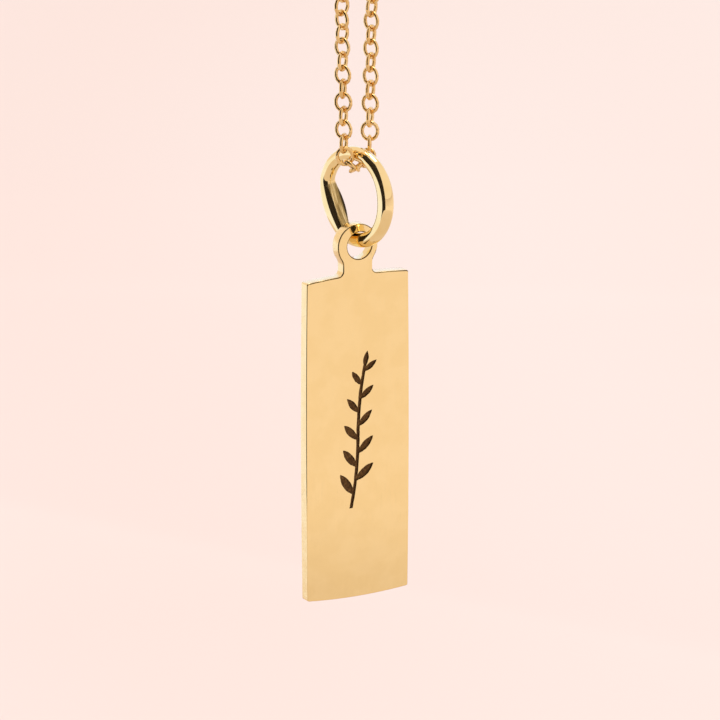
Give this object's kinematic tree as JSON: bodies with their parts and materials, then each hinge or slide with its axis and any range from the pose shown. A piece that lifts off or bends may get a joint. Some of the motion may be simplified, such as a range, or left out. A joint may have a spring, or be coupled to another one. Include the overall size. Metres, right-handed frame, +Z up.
{
  "type": "nameplate necklace",
  "caption": "Upright engraved bar with a drilled ear, hung by a heavy round ring from a closed loop of fine cable chain with a clasp.",
  "frame": {"origin": "underside of the chain's top turn, where the loop rests on a peg", "axes": "+Z up; the bar's engraved face looks towards -Y; +X to the right of someone who faces it"},
  "size_m": [0.012, 0.007, 0.2308],
  "materials": {
    "bar_gold": "polished 14k yellow gold sheet with a dark, rough-floored engraving",
    "ring_gold": "polished 14k yellow gold wire",
    "chain_gold": "polished 14k yellow gold fine wire"
  },
  "bodies": {
    "chain": {"chain": "chain_gold", "clasp": "chain_gold"},
    "ring": {"jump_ring": "ring_gold"},
    "bar": {"nameplate": "bar_gold"}
  },
  "joints": [
    {"name": "ring_swing", "type": "hinge", "parent": "chain", "child": "ring", "pos_m": [0, 0, -0.19888], "axis": [-0.9681, -0.2504, 0], "range_deg": [-60, 60]},
    {"name": "bar_swing", "type": "hinge", "parent": "ring", "child": "bar", "pos_m": [0, 0, -0.20377], "axis": [0.2504, -0.9681, 0], "range_deg": [-75, 75]}
  ]
}
